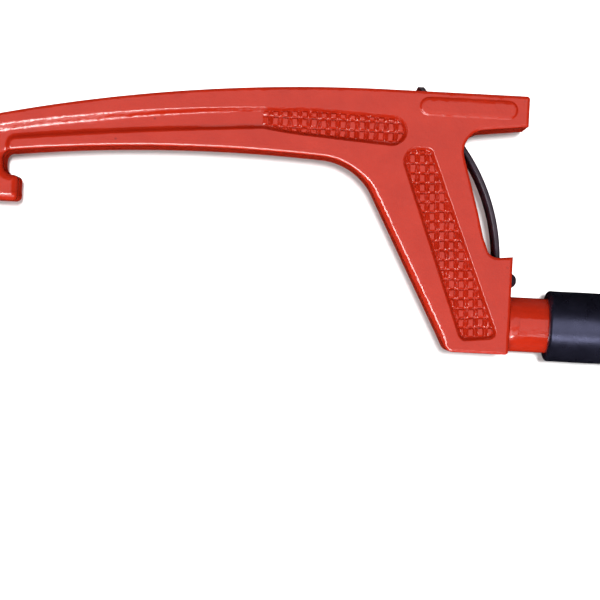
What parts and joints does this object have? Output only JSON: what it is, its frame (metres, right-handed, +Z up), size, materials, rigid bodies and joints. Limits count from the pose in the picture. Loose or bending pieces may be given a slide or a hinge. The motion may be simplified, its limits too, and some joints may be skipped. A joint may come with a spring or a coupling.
{
  "type": "frame grip",
  "caption": "Long-reach cast grip: a curved arm with a small foot, a slanted pistol leg with a sprung bow lever, and a round bar handle with a black sleeve.",
  "frame": {"origin": "on the surface the grip lies on, under the middle of its box", "axes": "+X along the handle from the foot to the grip's end, +Y across the grip from the handle to the top of the nose, +Z up, through the casting's thickness"},
  "size_m": [0.4118, 0.1238, 0.033],
  "materials": {
    "red_enamel": "glossy baked enamel over cast metal, slightly wavy, with small pits",
    "black_steel": "black oxide, satin",
    "bronze": "plain sintered bronze",
    "steel": "plain turned steel",
    "spring_steel": "drawn spring wire",
    "black_grip": "satin black moulded vinyl"
  },
  "bodies": {
    "frame": {"arm_casting": "red_enamel", "lever_pin": "steel", "pin_plug": "steel", "return_spring": "spring_steel", "spring_washer": "steel", "guide_screw": "black_steel", "handle_bar": "red_enamel", "bar_lock_pin": "steel", "grip_sleeve": "black_grip", "grip_end_cap": "black_grip", "end_washer": "steel", "end_screw": "steel"},
    "lever": {"squeeze_lever": "black_steel", "lever_bush": "bronze"}
  },
  "joints": [
    {"name": "lever_squeeze", "type": "hinge", "parent": "frame", "child": "lever", "pos_m": [0.02296, 0.0472, 0.0165], "axis": [0, 0, -1], "range_deg": [0, 3], "stiffness_Nm_per_rad": 2, "springref_deg": -5.73, "deforming": ["return_spring"]}
  ]
}
